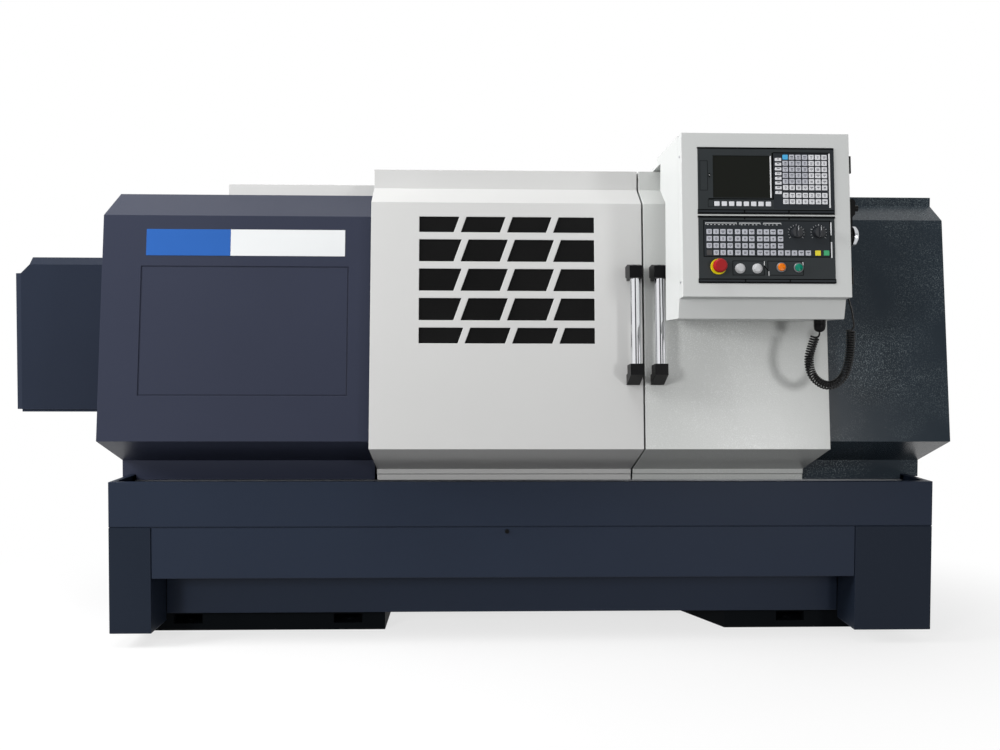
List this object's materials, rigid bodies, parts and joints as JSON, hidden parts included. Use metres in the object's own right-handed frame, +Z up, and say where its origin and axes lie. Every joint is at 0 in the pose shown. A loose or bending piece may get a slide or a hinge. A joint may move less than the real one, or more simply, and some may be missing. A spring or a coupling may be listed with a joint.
{
  "type": "turning lathe",
  "caption": "Enclosed flat-bed CNC turning lathe with leaning covers, sliding doors with a slanted window lattice, overhead control box, pendant, chuck, turret and tailstock.",
  "frame": {"origin": "centre of the machine's bounding box, on the floor", "axes": "+X along the spindle axis towards the tailstock, +Y from the operator's side to the rear, +Z up"},
  "size_m": [3.204, 1.5354, 1.6171],
  "materials": {
    "base_paint": "satin",
    "cover_paint": "textured satin",
    "door_paint": "satin",
    "castings": "painted",
    "machined_steel": "ground",
    "handle_chrome": "polished",
    "black_parts": "matte",
    "belt_rubber": "matte",
    "window_glass": "dark tinted",
    "panel_grey": "satin",
    "key_grey": "matte",
    "stop_yellow": "gloss",
    "stop_red": "gloss",
    "button_grey": "gloss",
    "button_amber": "gloss",
    "button_green": "gloss"
  },
  "bodies": {
    "frame": {"left_pedestal": "base_paint", "right_pedestal": "base_paint", "chip_tray": "base_paint", "left_leg_cover": "base_paint", "right_leg_cover": "base_paint", "front_apron": "base_paint", "bed": "castings", "headstock": "castings", "headstock_cover": "cover_paint", "access_panel": "cover_paint", "end_guard": "cover_paint", "tailstock_cover": "cover_paint", "rear_guard": "cover_paint", "top_rail": "door_paint", "bottom_rail": "machined_steel", "electrical_cabinet": "door_paint", "main_motor": "castings", "drive_belt": "belt_rubber", "z_servo_motor": "black_parts", "control_box": "door_paint", "lid_hinges": "black_parts", "mpg_body": "black_parts", "cord_coil": "belt_rubber", "cord_lead": "belt_rubber"},
    "left_door": {"left_door": "door_paint", "left_door_glass": "window_glass", "left_handle_tube": "handle_chrome", "left_handle_ends": "black_parts"},
    "right_door": {"right_door": "door_paint", "right_handle_tube": "handle_chrome", "right_handle_ends": "black_parts"},
    "spindle": {"spindle": "machined_steel", "spindle_pulley": "machined_steel", "chuck": "machined_steel"},
    "jaw_1": {"chuck_jaw_1": "machined_steel"},
    "jaw_2": {"chuck_jaw_2": "machined_steel"},
    "jaw_3": {"chuck_jaw_3": "machined_steel"},
    "motor_rotor": {"motor_pulley": "machined_steel"},
    "carriage": {"saddle": "castings"},
    "cross_slide": {"cross_slide": "castings"},
    "turret": {"turret_head": "machined_steel"},
    "z_screw": {"z_ballscrew": "machined_steel"},
    "tailstock": {"tailstock": "castings"},
    "quill": {"tailstock_quill": "machined_steel"},
    "handwheel": {"tailstock_handwheel": "machined_steel"},
    "lid": {"box_lid": "door_paint", "display_unit": "panel_grey", "screen": "window_glass", "operator_panel": "panel_grey", "panel_keys": "key_grey", "estop_collar": "stop_yellow"},
    "estop": {"estop_button": "stop_red"},
    "hold_button": {"hold_button": "button_grey"},
    "start_button": {"start_button": "button_grey"},
    "amber_button": {"amber_button": "button_amber"},
    "green_button": {"green_button": "button_green"},
    "feed_knob": {"feed_knob": "black_parts"},
    "speed_knob": {"speed_knob": "black_parts"},
    "mpg_dial": {"mpg_dial": "machined_steel"},
    "cabinet_door": {"cabinet_door": "door_paint"}
  },
  "joints": [
    {"name": "left_door_slide", "type": "slide", "parent": "frame", "child": "left_door", "axis": [1, 0, 0], "range_m": [-0.83, 0]},
    {"name": "right_door_slide", "type": "slide", "parent": "frame", "child": "right_door", "axis": [1, 0, 0], "range_m": [0, 0.36]},
    {"name": "spindle_spin", "type": "hinge", "parent": "frame", "child": "spindle", "pos_m": [-0.558, 0.06671, 1.12], "axis": [1, 0, 0], "continuous": true},
    {"name": "jaw_1_slide", "type": "slide", "parent": "spindle", "child": "jaw_1", "axis": [0, 0, 1], "range_m": [-0.01, 0.02]},
    {"name": "jaw_2_slide", "type": "slide", "parent": "spindle", "child": "jaw_2", "axis": [0, -0.866, -0.5], "range_m": [-0.01, 0.02]},
    {"name": "jaw_3_slide", "type": "slide", "parent": "spindle", "child": "jaw_3", "axis": [0, 0.866, -0.5], "range_m": [-0.01, 0.02]},
    {"name": "motor_spin", "type": "hinge", "parent": "frame", "child": "motor_rotor", "pos_m": [-1.258, 0.38671, 0.89], "axis": [1, 0, 0], "continuous": true},
    {"name": "carriage_slide", "type": "slide", "parent": "frame", "child": "carriage", "axis": [1, 0, 0], "range_m": [-0.38, 0.25]},
    {"name": "cross_feed", "type": "slide", "parent": "carriage", "child": "cross_slide", "axis": [0, 1, 0], "range_m": [-0.1, 0.12]},
    {"name": "turret_index", "type": "hinge", "parent": "cross_slide", "child": "turret", "pos_m": [0.4114, -0.05329, 1.1], "axis": [0, 0, 1], "continuous": true},
    {"name": "z_screw_spin", "type": "hinge", "parent": "frame", "child": "z_screw", "pos_m": [0.542, -0.16729, 0.77], "axis": [1, 0, 0], "continuous": true},
    {"name": "tailstock_slide", "type": "slide", "parent": "frame", "child": "tailstock", "axis": [1, 0, 0], "range_m": [-0.28, 0.05]},
    {"name": "quill_slide", "type": "slide", "parent": "tailstock", "child": "quill", "axis": [1, 0, 0], "range_m": [-0.12, 0]},
    {"name": "handwheel_spin", "type": "hinge", "parent": "tailstock", "child": "handwheel", "pos_m": [1.272, 0.06671, 1.12], "axis": [1, 0, 0], "continuous": true},
    {"name": "lid_hinge", "type": "hinge", "parent": "frame", "child": "lid", "pos_m": [1.14, -0.71241, 1.13432], "axis": [0, 0.0892, 0.996], "range_deg": [0, 90]},
    {"name": "estop_push", "type": "slide", "parent": "lid", "child": "estop", "axis": [0, 0.996, -0.0892], "range_m": [0, 0.004], "stiffness_N_per_m": 4000},
    {"name": "hold_push", "type": "slide", "parent": "lid", "child": "hold_button", "axis": [0, 0.996, -0.0892], "range_m": [0, 0.003], "stiffness_N_per_m": 1000},
    {"name": "start_push", "type": "slide", "parent": "lid", "child": "start_button", "axis": [0, 0.996, -0.0892], "range_m": [0, 0.003], "stiffness_N_per_m": 1000},
    {"name": "amber_push", "type": "slide", "parent": "lid", "child": "amber_button", "axis": [0, 0.996, -0.0892], "range_m": [0, 0.003], "stiffness_N_per_m": 1000},
    {"name": "green_push", "type": "slide", "parent": "lid", "child": "green_button", "axis": [0, 0.996, -0.0892], "range_m": [0, 0.003], "stiffness_N_per_m": 1000},
    {"name": "feed_knob_turn", "type": "hinge", "parent": "lid", "child": "feed_knob", "pos_m": [0.968, -0.72553, 1.32405], "axis": [0, -0.996, 0.0892], "range_deg": [-135, 135]},
    {"name": "speed_knob_turn", "type": "hinge", "parent": "lid", "child": "speed_knob", "pos_m": [1.034, -0.72553, 1.32405], "axis": [0, -0.996, 0.0892], "range_deg": [-135, 135]},
    {"name": "mpg_dial_spin", "type": "hinge", "parent": "frame", "child": "mpg_dial", "pos_m": [1.182, -0.60829, 1.33], "axis": [1, 0, 0], "continuous": true},
    {"name": "cabinet_door_hinge", "type": "hinge", "parent": "frame", "child": "cabinet_door", "pos_m": [-0.311, 0.74821, 1.06], "axis": [0, 0, 1], "range_deg": [-110, 0]}
  ],
  "couplings": [
    {"joint": "motor_spin", "follows": "spindle_spin", "ratio": 1.6923},
    {"joint": "jaw_2_slide", "follows": "jaw_1_slide", "ratio": 1},
    {"joint": "jaw_3_slide", "follows": "jaw_1_slide", "ratio": 1},
    {"joint": "z_screw_spin", "follows": "carriage_slide", "rad_per_m": 628.32},
    {"joint": "handwheel_spin", "follows": "quill_slide", "rad_per_m": 1256.6}
  ]
}
